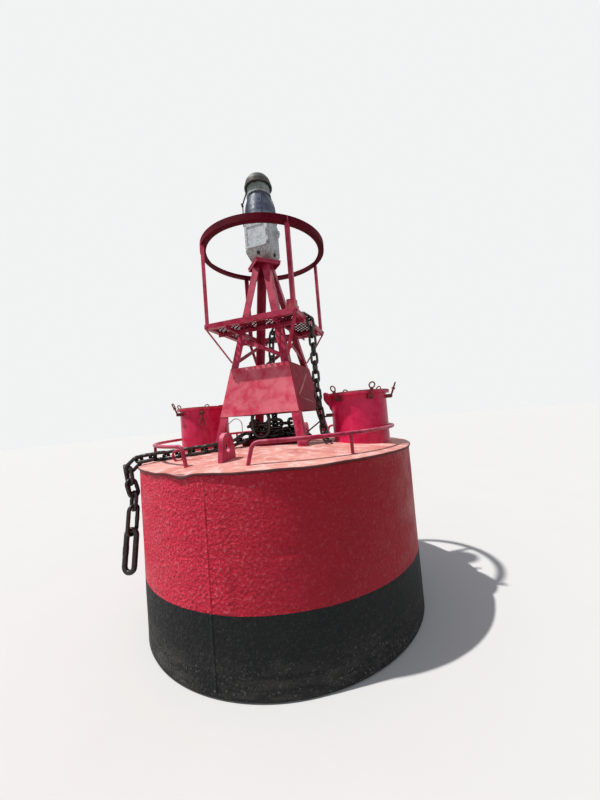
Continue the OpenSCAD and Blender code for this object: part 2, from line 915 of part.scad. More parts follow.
// One link: a bar of LINK_SIDES sides swept round a long ring, lying along dir at point p.
// Its width lies along side where the roll is 0.
module link(p, dir, side, roll, pitch, bar, width) {
    other = cross(dir, side);
    n = side * cos(roll) + other * sin(roll);
    b = cross(dir, n);
    arc_r = (width - bar) / 2;
    arc_at = (pitch + bar) / 2 - arc_r;
    points = [for (st = LINK_STATIONS)
        let (e = dir * cos(st[1]) + n * sin(st[1]), c = p + dir * st[0] * arc_at + e * arc_r * st[2])
        for (k = [0:LINK_SIDES - 1])
            let (f = 360 * (k + 0.5) / LINK_SIDES)
            c + (e * cos(f) + b * sin(f)) * bar / 2];
    stations = len(LINK_STATIONS);
    faces = [for (i = [0:stations - 1], k = [0:LINK_SIDES - 1])
        let (i2 = (i + 1) % stations, k2 = (k + 1) % LINK_SIDES,
             a0 = i * LINK_SIDES + k, a1 = i * LINK_SIDES + k2,
             b0 = i2 * LINK_SIDES + k, b1 = i2 * LINK_SIDES + k2)
        for (tri = [[a0, b1, b0], [a0, a1, b1]]) tri];
    polyhedron(points = points, faces = faces);
}

// The path is cut into even steps, one for each link, a little shorter than a link's inside
chain_step = chain_pitch - 5;
function joint(path, i) = path_at(path, i * chain_step);
function link_dir(path, i) = unit(joint(path, i + 1) - joint(path, i));
function square_to(v, dir) = unit(v - dir * (v * dir));
// The side of each link up to number last, carried on from the last link's without twist
function link_sides(path, last, side, i = 0) =
    let (here = square_to(side, link_dir(path, i)))
    i >= last ? [here] : concat([here], link_sides(path, last, here, i + 1));

// Links from one number to before another, each turned a quarter from the last.
// The roll goes evenly from the first link's to the last link's.
module chain_along(path, from, to, first_roll, last_roll, start_side) {
    sides = link_sides(path, to - 1, start_side);
    for (i = [from:to - 1]) {
        roll = first_roll + (last_roll - first_roll) * (i - from) / max(1, to - 1 - from);
        link((joint(path, i) + joint(path, i + 1)) / 2, link_dir(path, i), sides[i],
            roll + (i % 2) * 90, chain_pitch, chain_bar, chain_w);
    }
}

// Half the height of a chain lying with its links turned 45 degrees, with a little room
chain_lie = (chain_w - chain_bar) / 2 * sin(45) + chain_bar / 2;
// A point of a chain that lies on the deck
function on_deck(x, y) = [x, y, deck_z(norm([x, y])) + chain_lie + 0.3];
coaming_z = hull_h + deck_rise + coaming_h;

// The run from the heap across the deck and over its edge, with two larger end links
// and one long link beside it
edge_turn = -47;
module chain_over_side() {
    out = [sin(edge_turn), -cos(edge_turn), 0];
    hang = hull_r + deck_lip + 10 + chain_lie;
    bend = 158;
    bend_at = [hull_r - 44, hull_h + 58 - bend];
    path = concat([[-158, -262, coaming_z + 30], on_deck(-235, -385), on_deck(-330, -480),
            on_deck(-470, -562), on_deck(-620, -615)],
        [for (a = [0:22.5:90])
            out * (bend_at[0] + bend * sin(a)) + [0, 0, bend_at[1] + bend * cos(a)]],
        [out * (hang + 22) + [0, 0, 1010], out * (hang + 4) + [0, 0, 930], out * hang + [0, 0, 800]]);
    count = 12;
    end = joint(path, count);
    second = 172;
    last = 252;
    color(black) {
        chain_along(path, 0, count, 45, 50, [0.85, -0.53, 0]);
        link(end - [0, 0, second / 2 - 1], [0, 0, 1], [0, 1, 0], -7, second, 28, 98);
        link(end - [0, 0, second + last / 2 - 2], [0, 0, 1], [0, 1, 0], 98, last, 38, 114);
        link(out * (hang + 118) + [0, 0, 1092], [0, 0, 1], [0, 1, 0], 48, 190, 24, 92);
    }
}

// A loose coil on the coaming, a second turn on the first, with one large link standing by it
module chain_heap() {
    count = 18;
    middle = [-22, -20];
    steps = 60;
    path = [for (i = [0:steps])
        let (a = 700 * i / steps,
             r = 186 - 4 * sin(a),
             lift = (1 - cos(180 * min(1, max(0, (a - 250) / 105)))) / 2)
        [middle[0] + r * cos(a + 215), middle[1] + r * sin(a + 215),
         coaming_z + chain_lie + lift * (2 * chain_lie + 2) + 4 * lift * sin(a * 2)]];
    color(black) {
        chain_along(path, 0, count, 45, 45, [1, 0, 0]);
        link([-17, -264, coaming_z + 119.7], [0, 0, 1], [0, 1, 0], 90, 190, 28, 172);
    }
}

// One chain comes up inside the tower, lies across the platform and hangs down outside it
over_rim = 140;
// The chain's bend to the deck, and the way that it goes off on the deck
foot_bend = 140;
FOOT_DIR = [0.42, -0.908];
TOWER_PATH = concat([[-12, 2, coaming_z + 34], [-12, 2, 1560], [2, 0, 1890], [10, -2, 2060],
        [18, -6, 2130], [40, -16, 2190], [84, -34, 2240], [140, -53, 2270], [205, -72, 2283]],
    [for (a = [0:22.5:90])
        [platform_half - 46 + over_rim * sin(a), -112 - 6 * sin(a),
         platform_z + 48 - over_rim * (1 - cos(a))]],
    [[462, -117, 2060], [448, -114, 1985], [430, -110, 1880], [416, -106, 1640], [424, -108, 1500]],
    [for (a = [0:22.5:90])
        [442 + foot_bend * (1 - cos(a)) * FOOT_DIR[0], -109 + foot_bend * (1 - cos(a)) * FOOT_DIR[1],
         on_deck(500, -240)[2] + foot_bend * (1 - sin(a))]],
    [on_deck(540, -330)]);
INSIDE_LINKS = 10;
OUTSIDE_LINKS = 16;
// The roll of the outside chain's last link, which lies on the deck
OUTSIDE_ROLL = 75;
module chain_inside_tower() {
    color(black)
        chain_along(TOWER_PATH, 0, INSIDE_LINKS, 45, 45, [0, -1, 0]);
}

module chain_outside_tower() {
    color(black)
        chain_along(TOWER_PATH, INSIDE_LINKS, INSIDE_LINKS + OUTSIDE_LINKS, 45, OUTSIDE_ROLL, [0, -1, 0]);
}

hull_shell();
deck_plate();
centre_coaming();
tower_leg_front_left();
tower_leg_front_right();
tower_leg_back_right();
tower_leg_back_left();
leg_cleats();
tower_top_plate();
tower_braces();
number_plate_front();
number_plate_right();
number_plate_back();
number_plate_left();
platform_rim();
platform_grating();
platform_struts();
platform_block();
guard_posts();
guard_ring();
pocket_right();
pocket_left();
lid_right();
lid_left();
swing_bolts_right();
swing_bolts_left();
gas_pipe();
lifting_eye_front();
lifting_eye_back();
ring_eye();
handrail_right();
handrail_left();
lantern_body();
lantern_door();
lantern_lens();
lens_guard();
lantern_hood();
hood_clasp();
chain_over_side();
chain_heap();
chain_inside_tower();
chain_outside_tower();
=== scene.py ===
"""Looks of the lighted buoy: paint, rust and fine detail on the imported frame, with a floor,
lights and a camera. Everything is in metres in the frame of the CAD model, apart from the
chain's routes, which are in millimetres. Z is up, and the front is -Y."""

import math

import bmesh
import bpy
from mathutils import Matrix, Vector, noise

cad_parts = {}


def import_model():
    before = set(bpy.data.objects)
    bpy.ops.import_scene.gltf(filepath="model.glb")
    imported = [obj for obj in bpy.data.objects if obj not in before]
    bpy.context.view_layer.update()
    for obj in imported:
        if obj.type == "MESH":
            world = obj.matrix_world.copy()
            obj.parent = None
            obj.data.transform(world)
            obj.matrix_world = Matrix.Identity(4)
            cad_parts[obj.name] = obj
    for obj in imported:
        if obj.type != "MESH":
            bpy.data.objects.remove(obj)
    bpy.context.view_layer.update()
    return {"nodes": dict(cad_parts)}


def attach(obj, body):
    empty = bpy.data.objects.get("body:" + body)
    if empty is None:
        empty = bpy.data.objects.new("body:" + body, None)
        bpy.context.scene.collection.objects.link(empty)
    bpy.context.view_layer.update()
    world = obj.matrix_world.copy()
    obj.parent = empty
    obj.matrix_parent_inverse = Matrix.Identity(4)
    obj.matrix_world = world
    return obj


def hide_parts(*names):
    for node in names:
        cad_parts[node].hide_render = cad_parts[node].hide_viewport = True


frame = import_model()
NODES = frame["nodes"]

# Places on the CAD model that the paints and pieces refer to

HULL_R = 1.067
HULL_H = 1.185
# How far the deck plate stands out past the hull
DECK_LIP = 0.010
# Height at which the red enamel ends and the black boot-top begins
WATERLINE = 0.438
# Height up to which the lantern's body is rusty
BODY_RUST = 2.872
# Heights of the lens's foot, the top of the hood's neck ring and the underside of its brim
LENS_FOOT = 3.185
NECK_TOP = 3.4365
BRIM_LOW = 3.5035


# Shader building

class Graph:
    """A material being built: each call adds its nodes and gives back an output socket."""

    def __init__(self, name):
        self.mat = bpy.data.materials.new(name)
        self.mat.use_nodes = True
        self.tree = self.mat.node_tree
        self.tree.nodes.clear()
        out = self.node("OutputMaterial")
        self.bsdf = self.node("BsdfPrincipled")
        self.tree.links.new(self.bsdf.outputs[0], out.inputs["Surface"])
        self.coords = self.node("TexCoord").outputs["Object"]

    def node(self, kind):
        return self.tree.nodes.new("ShaderNode" + kind)

    def put(self, socket, value):
        """Feeds an input from an output socket, or sets it to a number or a colour."""
        if isinstance(value, bpy.types.NodeSocket):
            self.tree.links.new(value, socket)
        elif isinstance(value, (tuple, list)) and len(value) == 3 and socket.type == "RGBA":
            socket.default_value = (*value, 1.0)
        else:
            socket.default_value = value

    def noise(self, scale, detail=5.0, rough=0.55, distort=0.0, where=None):
        n = self.node("TexNoise")
        self.put(n.inputs["Vector"], where or self.coords)
        n.inputs["Scale"].default_value = scale
        n.inputs["Detail"].default_value = detail
        n.inputs["Roughness"].default_value = rough
        n.inputs["Distortion"].default_value = distort
        return n.outputs["Fac"]

    def stretch(self, x, y, z):
        n = self.node("Mapping")
        self.put(n.inputs["Vector"], self.coords)
        n.inputs["Scale"].default_value = (x, y, z)
        return n.outputs["Vector"]

    def axis(self, which, where=None):
        n = self.node("SeparateXYZ")
        self.put(n.inputs[0], where or self.coords)
        return n.outputs[which]

    def from_axis(self):
        """Distance from the buoy's axis."""
        n = self.node("VectorMath")
        n.operation = "LENGTH"
        self.put(n.inputs[0], self.stretch(1.0, 1.0, 0.0))
        return n.outputs["Value"]

    def facing_up(self):
        return self.axis("Z", self.node("NewGeometry").outputs["Normal"])

    def edges(self, radius):
        """Near 1 where the surface turns sharply within radius, and 0 on flats."""
        bevel = self.node("Bevel")
        bevel.samples = 4
        bevel.inputs["Radius"].default_value = radius
        plain = self.node("NewGeometry")
        dot = self.node("VectorMath")
        dot.operation = "DOT_PRODUCT"
        self.put(dot.inputs[0], bevel.outputs["Normal"])
        self.put(dot.inputs[1], plain.outputs["Normal"])
        return self.span(dot.outputs["Value"], 0.995, 0.80)

    def math(self, op, a, b):
        n = self.node("Math")
        n.operation = op
        self.put(n.inputs[0], a)
        self.put(n.inputs[1], b)
        return n.outputs[0]

    def times(self, a, b):
        return self.math("MULTIPLY", a, b)

    def plus(self, a, b):
        return self.math("ADD", a, b)

    def span(self, value, from_low, from_high, to_low=0.0, to_high=1.0):
        """A smooth step from one range to another, which stops at the ends."""
        n = self.node("MapRange")
        n.interpolation_type = "SMOOTHSTEP"
        self.put(n.inputs["Value"], value)
        n.inputs["From Min"].default_value = from_low
        n.inputs["From Max"].default_value = from_high
        n.inputs["To Min"].default_value = to_low
        n.inputs["To Max"].default_value = to_high
        return n.outputs[0]

    def mix(self, a, b, fac):
        n = self.node("Mix")
        n.data_type = "RGBA"
        self.put(n.inputs[0], fac)
        self.put(n.inputs[6], a)
        self.put(n.inputs[7], b)
        return n.outputs[2]

    def over(self, under, paint, mask, share):
        """Lays a paint over another: as much as its share where the mask is 1."""
        return self.mix(under, paint, self.times(mask, share))

    def bump(self, height, strength, distance, under=None):
        n = self.node("Bump")
        n.inputs["Strength"].default_value = strength
        n.inputs["Distance"].default_value = distance
        self.put(n.inputs["Height"], height)
        if under is not None:
            self.put(n.inputs["Normal"], under)
        return n.outputs[0]

    def finish(self, color, rough, normal=None, metallic=0.0, specular=0.5):
        self.put(self.bsdf.inputs["Base Color"], color)
        self.put(self.bsdf.inputs["Roughness"], rough)
        self.put(self.bsdf.inputs["Metallic"], metallic)
        self.put(self.bsdf.inputs["Specular IOR Level"], specular)
        if normal is not None:
            self.put(self.bsdf.inputs["Normal"], normal)
        return self.mat


# Paints

RUST_DARK = (0.055, 0.018, 0.010)
RUST_WARM = (0.23, 0.065, 0.022)


def enamel(name, deep, plain, chalk, fade, rust=0.4, rough=(0.38, 0.68), grain=1.0,
           streaks=0.3, gloss=0.20):
    """Old red enamel: darker and brighter patches, chalky where the sun falls and on worn
    edges, with rust in spots."""
    worn_share = 0.55
    g = Graph(name)
    broad = g.noise(1.7, 4.0, 0.6)
    patch = g.noise(11.0, 7.0, 0.62, 0.4)
    fine = g.noise(70.0, 4.0, 0.6)
    color = g.mix(deep, plain, g.span(g.plus(broad, g.times(patch, 0.6)), 0.55, 1.05))
    up = g.span(g.facing_up(), 0.15, 0.95)
    faded = g.times(g.plus(g.times(up, 0.75), 0.25), g.span(patch, 0.32, 0.62))
    color = g.over(color, chalk, faded, fade)
    streak = g.noise(9.0, 5.0, 0.6, 0.0, g.stretch(1.0, 1.0, 0.12))
    color = g.over(color, deep, g.span(streak, 0.56, 0.72), streaks)
    worn = g.edges(0.004)
    color = g.over(color, chalk, g.times(worn, g.span(fine, 0.42, 0.60)), worn_share)
    spots = g.span(g.plus(g.noise(38.0, 6.0, 0.72), g.times(worn, 0.10)), 0.66, 0.73)
    ground = g.mix(RUST_DARK, RUST_WARM, g.noise(55.0, 3.0))
    color = g.over(color, ground, spots, rust)
    dull = g.span(g.plus(g.times(patch, 0.5), g.times(spots, 0.5)), 0.2, 0.7, *rough)
    lumps = g.bump(g.noise(26.0 * grain, 5.0, 0.55), 0.30, 0.004)
    normal = g.bump(g.math("SUBTRACT", fine, g.times(spots, 0.8)), 0.25, 0.0015, lumps)
    return g.finish(color, dull, normal, specular=gloss)


def hull_paint():
    """Crimson enamel over coarse plate, smoother to the right, with painted light and shade:
    lighter on the sunlit left and darker to the right, painted highlights on the grain's crests,
    painted shade in its hollows and a painted shadow under the deck's lip. Below, a black
    boot-top, dusty near the ground, with painted highlights on its grain and dust painted paler
    on its sunny side."""
    # Painted light and shade: the first red is the sunlit left, the second the painted shade to
    # the right, and the third darkens the far right further as painted shade
    sunlit_red, dull = (0.860, 0.034, 0.082), (0.420, 0.008, 0.020)
    shaded_side_red = (0.330, 0.010, 0.018)
    dark_patch, light_patch = (0.28, 0.006, 0.016), (0.86, 0.075, 0.125)
    # Painted highlight on the grain's crests, stronger on the sunlit left, and painted shade in
    # its hollows
    crest_highlight_pink, pit_shade_red = (0.92, 0.32, 0.38), (0.240, 0.005, 0.016)
    streak_red, scratch_pink = (0.16, 0.007, 0.013), (0.50, 0.16, 0.16)
    lip_shadow = (0.030, 0.004, 0.007)
    tar_dark, tar_light = (0.006, 0.007, 0.008), (0.017, 0.018, 0.019)
    # Painted highlight on the boot-top's grain, and dust that is painted paler on its sunny side
    tar_crest_highlight, dust_and_sunlit_grey = (0.075, 0.070, 0.068), (0.125, 0.115, 0.108)
    grit_grey = (0.36, 0.34, 0.31)
    paint_line = 0.0015

    g = Graph("hull_paint_mat")
    z = g.axis("Z")
    right = g.span(g.plus(g.axis("X"), g.times(g.axis("Y"), 0.30)), -0.62, 0.42)
    left = g.math("SUBTRACT", 1.0, right)
    broad = g.noise(1.4, 3.0, 0.5)
    patch = g.noise(7.0, 6.0, 0.6, 0.3)
    fine = g.noise(95.0, 4.0, 0.6)
    grain = g.noise(58.0, 2.0, 0.5, 0.35)

    # Painted light and shade: lighter on the left where the sun falls, darker to the right and
    # darker still at the far right
    red = g.mix(sunlit_red, dull, right)
    red = g.over(red, shaded_side_red, g.span(g.axis("X"), 0.25, 0.95), 0.75)
    red = g.mix(red, g.mix(dark_patch, light_patch, patch), g.span(broad, 0.35, 0.75, 0.10, 0.34))
    # Painted highlight on the crests of the grain and painted shade in its hollows
    crest_highlight = g.times(g.span(grain, 0.55, 0.72), g.span(left, 0.0, 0.8, 0.25, 1.0))
    red = g.over(red, crest_highlight_pink, crest_highlight, 0.36)
    red = g.over(red, pit_shade_red, g.span(grain, 0.44, 0.30), 0.42)
    streak = g.span(g.noise(7.0, 6.0, 0.62, 0.0, g.stretch(1.0, 1.0, 0.06)), 0.58, 0.76)
    red = g.over(red, streak_red, streak, 0.30)
    scratch = g.span(g.noise(16.0, 6.0, 0.7, 0.3, g.stretch(1.0, 1.0, 0.10)), 0.66, 0.74)
    red = g.over(red, scratch_pink, g.times(scratch, right), 0.40)
    chip = g.span(g.noise(48.0, 6.0, 0.75), 0.71, 0.76)
    red = g.over(red, RUST_DARK, chip, 0.5)
    shade = g.span(g.plus(z, g.times(patch, 0.012)), HULL_H - 0.020, HULL_H - 0.004)
    red = g.over(red, lip_shadow, shade, 0.85)

    tar = g.mix(tar_dark, tar_light, patch)
    # Painted light on the boot-top: highlights on the grain's crests and paler dust towards the
    # sunny side
    sunny = g.span(g.axis("X"), 0.1, -0.8)
    tar = g.over(tar, tar_crest_highlight, g.span(grain, 0.50, 0.72), g.span(sunny, 0.0, 1.0, 0.2, 0.8))
    dusty = g.span(z, 0.30, 0.02)
    drift = g.noise(5.0, 7.0, 0.66, 0.4, g.stretch(1.0, 1.0, 4.0))
    dust = g.times(g.span(drift, 0.40, 0.64), dusty)
    tar = g.over(tar, dust_and_sunlit_grey, dust, g.span(sunny, 0.0, 1.0, 0.35, 0.75))
    grit = g.times(g.span(g.noise(70.0, 6.0, 0.8), 0.56, 0.66), g.plus(dusty, 0.22))
    tar = g.over(tar, grit_grey, grit, 0.60)

    wavy = g.times(g.math("SUBTRACT", g.noise(3.0, 3.0), 0.5), 0.010)
    below = g.span(g.plus(z, wavy), WATERLINE - paint_line, WATERLINE + paint_line, 1.0, 0.0)
    color = g.mix(red, tar, below)
    rough = g.mix((0.42, 0.42, 0.42), (0.62, 0.62, 0.62), g.span(patch, 0.35, 0.70))
    rough = g.mix(rough, (0.66, 0.66, 0.66), below)
    swell = g.bump(g.noise(4.0, 3.0, 0.5, 0.2, g.stretch(1.0, 1.0, 2.6)), 0.50, 0.020)
    coarse = g.times(grain, g.span(right, 0.0, 1.0, 1.0, 0.45))
    normal = g.bump(fine, 0.50, 0.0025, g.bump(coarse, 1.0, 0.0150, swell))
    return g.finish(color, rough, normal, specular=0.16)


def deck_paint():
    """Deck enamel bleached to salmon, with brush marks across it, pink chalk, redder worn
    tracks and a dark edge, partly the lip's own dark paint and partly painted shade on its side
    and underside."""
    salmon_dark, salmon_light = (0.60, 0.200, 0.165), (0.78, 0.42, 0.36)
    pink_chalk, brush_red = (0.84, 0.60, 0.57), (0.50, 0.055, 0.070)
    track_red, dark_edge_and_shade = (0.36, 0.025, 0.040), (0.070, 0.008, 0.013)

    g = Graph("deck_paint_mat")
    broad = g.noise(2.2, 4.0, 0.6)
    brush = g.noise(5.0, 6.0, 0.65, 0.5, g.stretch(0.45, 3.6, 1.0))
    patch = g.noise(13.0, 8.0, 0.66, 0.5)
    color = g.mix(salmon_dark, salmon_light, g.span(g.plus(brush, broad), 0.72, 1.20))
    color = g.over(color, pink_chalk, g.span(patch, 0.48, 0.62), 0.70)
    color = g.over(color, brush_red, g.span(brush, 0.56, 0.66), 0.60)
    track = g.noise(3.0, 7.0, 0.7, 0.8, g.stretch(0.6, 2.0, 1.0))
    color = g.over(color, track_red, g.span(track, 0.57, 0.68), 0.65)
    spots = g.span(g.noise(44.0, 6.0, 0.74), 0.66, 0.72)
    color = g.over(color, RUST_WARM, spots, 0.45)
    # Dark edge: the lip's own dark paint, and painted shade on its side and underside
    rim = g.span(g.from_axis(), 1.0700, 1.0735)
    side = g.math("MAXIMUM", g.span(g.facing_up(), 0.80, 0.45), rim)
    color = g.over(color, dark_edge_and_shade, side, 0.92)
    normal = g.bump(g.plus(g.noise(22.0, 5.0), g.times(patch, 0.5)), 0.35, 0.003)
    return g.finish(color, g.span(patch, 0.3, 0.7, 0.55, 0.85), normal, specular=0.2)


def iron(name, dark, light, rust, rough):
    """Bare or tarred iron: near black, with rust in patches and a little shine on high spots."""
    g = Graph(name)
    patch = g.noise(24.0, 7.0, 0.66, 0.5)
    fine = g.noise(130.0, 4.0, 0.6)
    color = g.mix(dark, light, g.span(patch, 0.38, 0.66))
    ground = g.mix(RUST_DARK, RUST_WARM, fine)
    spots = g.span(g.noise(45.0, 7.0, 0.7), 0.52, 0.64)
    color = g.over(color, ground, spots, rust)
    dull = g.span(g.plus(patch, g.times(spots, 0.4)), 0.4, 0.9, *rough)
    return g.finish(color, dull, g.bump(g.plus(fine, patch), 0.40, 0.0015), metallic=0.35)


def pipe_paint():
    """The gas tubes: one painted cream on the left side, one rusty on the right."""
    g = Graph("gas_pipe_mat")
    patch = g.noise(30.0, 6.0, 0.66, 0.5)
    fine = g.noise(130.0, 4.0, 0.6)
    cream = g.mix((0.62, 0.44, 0.36), (0.76, 0.66, 0.56), g.span(patch, 0.35, 0.60))
    rusty = g.mix((0.09, 0.018, 0.016), (0.30, 0.060, 0.050), g.span(patch, 0.38, 0.64))
    color = g.mix(cream, rusty, g.span(g.axis("X"), -0.05, 0.05))
    spots = g.span(g.noise(60.0, 7.0, 0.7), 0.60, 0.68)
    color = g.over(color, RUST_DARK, spots, 0.7)
    return g.finish(color, g.span(patch, 0.3, 0.7, 0.45, 0.75), g.bump(fine, 0.4, 0.001))


def weathered(name, pale, plain, dark, rust, specks, low_rust=None):
    """Old grey paint with dark grime in specks. Rust lies in spots, and also below a height
    where one is given."""
    g = Graph(name)
    patch = g.noise(20.0, 7.0, 0.66, 0.3)
    fine = g.noise(110.0, 5.0, 0.65)
    color = g.mix(plain, pale, g.span(patch, 0.34, 0.54))
    color = g.over(color, dark, g.span(g.noise(58.0, 7.0, 0.76), 0.50, 0.60), specks)
    flow = g.span(g.noise(40.0, 6.0, 0.7, 0.0, g.stretch(1.0, 1.0, 0.2)), 0.54, 0.66)
    color = g.over(color, dark, flow, specks * 0.5)
    spots = g.span(g.noise(26.0, 7.0, 0.72), 0.56, 0.66)
    if low_rust is not None:
        height = g.plus(g.plus(g.axis("Z"), g.times(patch, 0.02)), g.times(patch, 0.04))
        below = g.span(height, low_rust + 0.06, low_rust - 0.03)
        cover = g.times(below, g.span(g.noise(9.0, 6.0, 0.6), 0.35, 0.62))
        spots = g.math("MAXIMUM", spots, cover)
    color = g.over(color, g.mix(RUST_DARK, RUST_WARM, fine), spots, rust)
    color = g.over(color, dark, g.times(g.edges(0.003), g.span(fine, 0.45, 0.6)), 0.6)
    normal = g.bump(g.plus(fine, g.times(patch, 1.5)), 0.35, 0.0015)
    return g.finish(color, g.span(patch, 0.3, 0.7, 0.45, 0.72), normal, specular=0.3)


def hood_paint():
    """The hood: a light neck ring, a greenish grey ventilator, and a near-black brim and dome
    with rust at the brim."""
    vent_dark, vent_light = (0.170, 0.205, 0.185), (0.340, 0.385, 0.350)
    neck_dark, neck_light = (0.300, 0.330, 0.350), (0.480, 0.500, 0.510)
    dome_dark, dome_light = (0.026, 0.029, 0.028), (0.085, 0.092, 0.086)
    dome_worn, grime_dark = (0.175, 0.180, 0.165), (0.02, 0.022, 0.02)
    paint_line = 0.001

    g = Graph("hood_paint_mat")
    patch = g.noise(20.0, 7.0, 0.66, 0.3)
    fine = g.noise(110.0, 5.0, 0.65)
    z = g.axis("Z")
    vent = g.mix(vent_dark, vent_light, g.span(patch, 0.36, 0.62))
    neck = g.mix(neck_dark, neck_light, g.span(patch, 0.36, 0.62))
    dome = g.mix(dome_dark, dome_light, g.span(patch, 0.36, 0.64))
    dome = g.over(dome, dome_worn, g.span(g.noise(9.0, 6.0, 0.6), 0.50, 0.66), 0.6)
    color = g.mix(neck, vent, g.span(z, NECK_TOP - paint_line, NECK_TOP + paint_line))
    color = g.mix(color, dome, g.span(z, BRIM_LOW - paint_line, BRIM_LOW + paint_line))
    near_brim = g.times(g.span(z, BRIM_LOW + 0.006, BRIM_LOW + 0.012),
                        g.span(z, BRIM_LOW + 0.040, BRIM_LOW + 0.018))
    rusty = g.times(near_brim, g.span(g.noise(12.0, 6.0, 0.66), 0.40, 0.58))
    spots = g.math("MAXIMUM", rusty, g.span(g.noise(34.0, 7.0, 0.72), 0.60, 0.68))
    color = g.over(color, g.mix(RUST_DARK, RUST_WARM, fine), spots, 0.6)
    grime = g.span(g.noise(62.0, 7.0, 0.74), 0.54, 0.64)
    color = g.over(color, grime_dark, grime, 0.35)
    normal = g.bump(g.plus(fine, g.times(patch, 1.5)), 0.35, 0.0015)
    return g.finish(color, g.span(patch, 0.3, 0.7, 0.38, 0.66), normal, specular=0.3)


def lens_glass():
    """Thick dusty glass, ribbed round the lens and dark inside, paler near its foot."""
    rib_pitch = 0.0115
    glass_dark, glass_light = (0.018, 0.032, 0.080), (0.070, 0.105, 0.190)
    foot_grey, dust_and_sunlit_grey = (0.34, 0.36, 0.42), (0.27, 0.30, 0.34)

    g = Graph("lens_glass_mat")
    z = g.axis("Z")
    ribs = g.math("SINE", g.times(z, 2 * math.pi / rib_pitch), 0.0)
    dust = g.span(g.noise(30.0, 7.0, 0.7), 0.40, 0.72)
    color = g.mix(glass_dark, glass_light, g.span(g.noise(8.0, 5.0), 0.3, 0.7))
    low = g.span(z, LENS_FOOT + 0.055, LENS_FOOT + 0.020)
    color = g.over(color, foot_grey, low, 0.55)
    color = g.over(color, dust_and_sunlit_grey, dust, 0.30)
    dull = g.span(dust, 0.0, 1.0, 0.36, 0.60)
    return g.finish(color, dull, g.bump(ribs, 0.35, 0.0015), specular=0.30)


MATS = {
    "hull": hull_paint(),
    "deck": deck_paint(),
    "frame": enamel(
        "frame_paint_mat", deep=(0.280, 0.005, 0.034), plain=(0.560, 0.014, 0.072),
        chalk=(0.84, 0.32, 0.42), fade=0.55),
    "faded": enamel(
        "faded_paint_mat", deep=(0.300, 0.020, 0.032), plain=(0.520, 0.055, 0.075),
        chalk=(0.78, 0.36, 0.37), fade=0.8, rust=0.6),
    # Painted light and shade: a lighter copy of the plates' paint for those facing the sun, and a
    # darker one, shaded_plate, as painted shade for those turned from it
    "plate": enamel(
        "sunlit_plate_mat", deep=(0.600, 0.030, 0.080), plain=(0.800, 0.110, 0.170),
        chalk=(0.92, 0.46, 0.50), fade=0.95, rust=0.15, rough=(0.40, 0.66), grain=0.5,
        streaks=0.15),
    "shaded_plate": enamel(
        "shaded_plate_mat", deep=(0.240, 0.003, 0.022), plain=(0.420, 0.008, 0.042),
        chalk=(0.78, 0.24, 0.30), fade=0.35, rust=0.25, rough=(0.55, 0.78), grain=0.6,
        streaks=0.2, gloss=0.08),
    # Red paint made near black as painted shade, for the guard ring, the coaming and the grating,
    # which lie in shade
    "ring": enamel(
        "red_darkened_as_shade_mat", deep=(0.050, 0.001, 0.006), plain=(0.125, 0.002, 0.013),
        chalk=(0.50, 0.05, 0.10), fade=0.25, rust=0.2, rough=(0.60, 0.85), gloss=0.05),
    "pocket": enamel(
        "pocket_paint_mat", deep=(0.460, 0.004, 0.050), plain=(0.780, 0.008, 0.100),
        chalk=(0.86, 0.22, 0.34), fade=0.45, rust=0.25, rough=(0.30, 0.52)),
    "bolts": iron(
        "rusty_steel_mat", dark=(0.09, 0.018, 0.016), light=(0.26, 0.034, 0.036),
        rust=0.75, rough=(0.5, 0.8)),
    "pipes": pipe_paint(),
    "chain": iron(
        "chain_iron_mat", dark=(0.010, 0.009, 0.009), light=(0.040, 0.036, 0.034),
        rust=0.35, rough=(0.26, 0.58)),
    "body": weathered(
        "lantern_metal_mat", pale=(0.72, 0.76, 0.78), plain=(0.46, 0.49, 0.50),
        dark=(0.06, 0.055, 0.05), rust=0.75, specks=0.6, low_rust=BODY_RUST),
    "door": weathered(
        "door_paint_mat", pale=(0.80, 0.85, 0.87), plain=(0.58, 0.62, 0.63),
        dark=(0.12, 0.13, 0.12), rust=0.40, specks=0.45),
    "hood": hood_paint(),
    "black": iron(
        "black_iron_mat", dark=(0.010, 0.010, 0.010), light=(0.035, 0.034, 0.033),
        rust=0.3, rough=(0.4, 0.7)),
    "lens": lens_glass(),
}

# The look of each CAD node that isn't a chain, a number plate or plain framework
LOOK_OF = {
    "hull_shell": "hull", "deck_plate": "deck", "centre_coaming": "ring",
    "guard_ring": "ring", "platform_grating": "ring", "platform_block": "faded",
    "lid_right": "faded", "lid_left": "faded", "pocket_right": "pocket",
    "pocket_left": "pocket", "swing_bolts_right": "bolts", "swing_bolts_left": "bolts",
    "gas_pipe": "pipes", "lantern_body": "body", "lantern_door": "door",
    "lantern_lens": "lens", "lens_guard": "black", "lantern_hood": "hood",
    "hood_clasp": "black",
}


def look_of(node):
    if node in LOOK_OF:
        return LOOK_OF[node]
    if node.startswith("chain"):
        return "chain"
    if node.startswith("number_plate"):
        # The plates facing the sun get the lighter copy, the others the darker one as painted
        # shade
        return "plate" if node.endswith(("front", "left")) else "shaded_plate"
    return "frame"


for node_name, obj in NODES.items():
    obj.data.materials.clear()
    obj.data.materials.append(MATS[look_of(node_name)])


# Building pieces

def smooth_by_angle(bm, degrees):
    """Smooth shading that keeps edges sharper than the angle."""
    for face in bm.faces:
        face.smooth = True
    for edge in bm.edges:
        two_faces = len(edge.link_faces) == 2
        edge.smooth = two_faces and edge.calc_face_angle(0.0) < math.radians(degrees)


